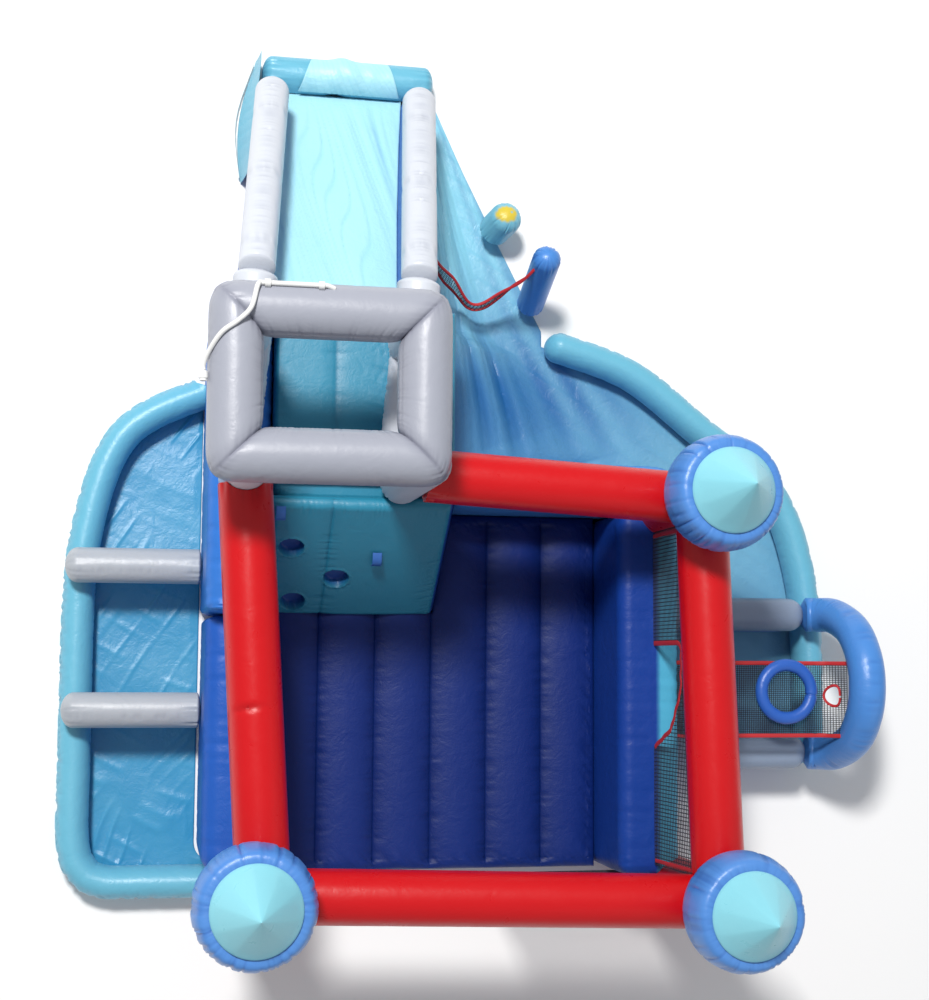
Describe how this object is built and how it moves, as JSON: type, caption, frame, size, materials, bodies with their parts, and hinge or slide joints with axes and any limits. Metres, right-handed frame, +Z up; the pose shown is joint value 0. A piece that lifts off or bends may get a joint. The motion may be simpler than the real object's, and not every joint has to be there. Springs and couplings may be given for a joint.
{
  "type": "inflatable water slide",
  "caption": "Inflatable bounce castle with a climbing tower, a water slide, side splash pools, a goal with a hoop and a canopy frame with a sprinkler hose.",
  "frame": {"origin": "centre of the bounce floor's underside, on the ground", "axes": "+Z up; +Y from the castle's entrance to the slide's foot; +X to the right pool and its goal"},
  "size_m": [4.6739, 5.1986, 2.2206],
  "materials": {
    "back_beam": "coated, satin",
    "back_right_cap": "coated, satin",
    "back_right_column": "coated, satin",
    "back_right_cone": "coated, satin",
    "back_wall": "coated, satin",
    "blower_inlet_collar": "coated, satin",
    "bounce_floor": "coated, satin",
    "canopy_frame": "coated, satin",
    "climbing_wall": "coated, satin",
    "deck_pad": "coated, satin",
    "foot_bumper": "coated, satin",
    "foot_flap": "coated, satin",
    "front_beam": "coated, satin",
    "front_left_cap": "coated, satin",
    "front_left_column": "coated, satin",
    "front_left_cone": "coated, satin",
    "front_left_post": "coated, satin",
    "front_net": "coated, satin",
    "front_right_cap": "coated, satin",
    "front_right_column": "coated, satin",
    "front_right_cone": "coated, satin",
    "front_right_post": "coated, satin",
    "goal_arch": "coated, satin",
    "goal_net": "coated, satin",
    "hoop_ring": "coated, satin",
    "hose": "matte",
    "hose_coupling": "matte",
    "left_beam": "coated, satin",
    "left_deck_rail": "coated, satin",
    "left_front_bar": "coated, satin",
    "left_grab_strap": "coated, satin",
    "left_hose_clip": "matte",
    "left_pool_floor": "coated, satin",
    "left_pool_rim": "coated, satin",
    "left_rail": "coated, satin",
    "left_rear_bar": "coated, satin",
    "left_slide_wall": "coated, satin",
    "left_wall": "coated, satin",
    "rear_left_post": "coated, satin",
    "rear_right_post": "coated, satin",
    "right_beam": "coated, satin",
    "right_deck_rail": "coated, satin",
    "right_front_bar": "coated, satin",
    "right_grab_strap": "coated, satin",
    "right_hose_clip": "matte",
    "right_net": "coated, satin",
    "right_pool_rim": "coated, satin",
    "right_pool_sheet": "coated, satin",
    "right_rail": "coated, satin",
    "right_rear_bar": "coated, satin",
    "right_slide_wall": "coated, satin",
    "right_wall": "coated, satin",
    "side_apron": "coated, satin",
    "slide_bed": "coated, satin",
    "slide_ramp": "coated, satin",
    "stub_post": "coated, satin",
    "tower_body": "coated, satin",
    "tower_left_wall": "coated, satin",
    "volley_net": "coated, satin",
    "volley_post": "coated, satin"
  },
  "bodies": {
    "root": {"back_beam": "back_beam", "back_right_cap": "back_right_cap", "back_right_column": "back_right_column", "back_right_cone": "back_right_cone", "back_wall": "back_wall", "blower_inlet_collar": "blower_inlet_collar", "bounce_floor": "bounce_floor", "canopy_frame": "canopy_frame", "climbing_wall": "climbing_wall", "deck_pad": "deck_pad", "foot_bumper": "foot_bumper", "foot_flap": "foot_flap", "front_beam": "front_beam", "front_left_cap": "front_left_cap", "front_left_column": "front_left_column", "front_left_cone": "front_left_cone", "front_left_post": "front_left_post", "front_net": "front_net", "front_right_cap": "front_right_cap", "front_right_column": "front_right_column", "front_right_cone": "front_right_cone", "front_right_post": "front_right_post", "goal_arch": "goal_arch", "goal_net": "goal_net", "hose": "hose", "left_beam": "left_beam", "left_deck_rail": "left_deck_rail", "left_front_bar": "left_front_bar", "left_grab_strap": "left_grab_strap", "left_hose_clip": "left_hose_clip", "left_pool_floor": "left_pool_floor", "left_pool_rim": "left_pool_rim", "left_rail": "left_rail", "left_rear_bar": "left_rear_bar", "left_slide_wall": "left_slide_wall", "left_wall": "left_wall", "rear_left_post": "rear_left_post", "rear_right_post": "rear_right_post", "right_beam": "right_beam", "right_deck_rail": "right_deck_rail", "right_front_bar": "right_front_bar", "right_grab_strap": "right_grab_strap", "right_hose_clip": "right_hose_clip", "right_net": "right_net", "right_pool_rim": "right_pool_rim", "right_pool_sheet": "right_pool_sheet", "right_rail": "right_rail", "right_rear_bar": "right_rear_bar", "right_slide_wall": "right_slide_wall", "right_wall": "right_wall", "side_apron": "side_apron", "slide_bed": "slide_bed", "slide_ramp": "slide_ramp", "stub_post": "stub_post", "tower_body": "tower_body", "tower_left_wall": "tower_left_wall", "volley_net": "volley_net", "volley_post": "volley_post"},
    "hoop": {"hoop_ring": "hoop_ring"},
    "coupling": {"hose_coupling": "hose_coupling"}
  },
  "joints": [
    {"name": "hoop_fold", "type": "hinge", "parent": "root", "child": "hoop", "pos_m": [2.19, 0.003, 0.6966], "axis": [0, 1, 0], "range_deg": [0, 75]},
    {"name": "coupling_spin", "type": "hinge", "parent": "root", "child": "coupling", "pos_m": [-1.4028, 1.4919, 2.0409], "axis": [0, 1, 0], "continuous": true}
  ]
}
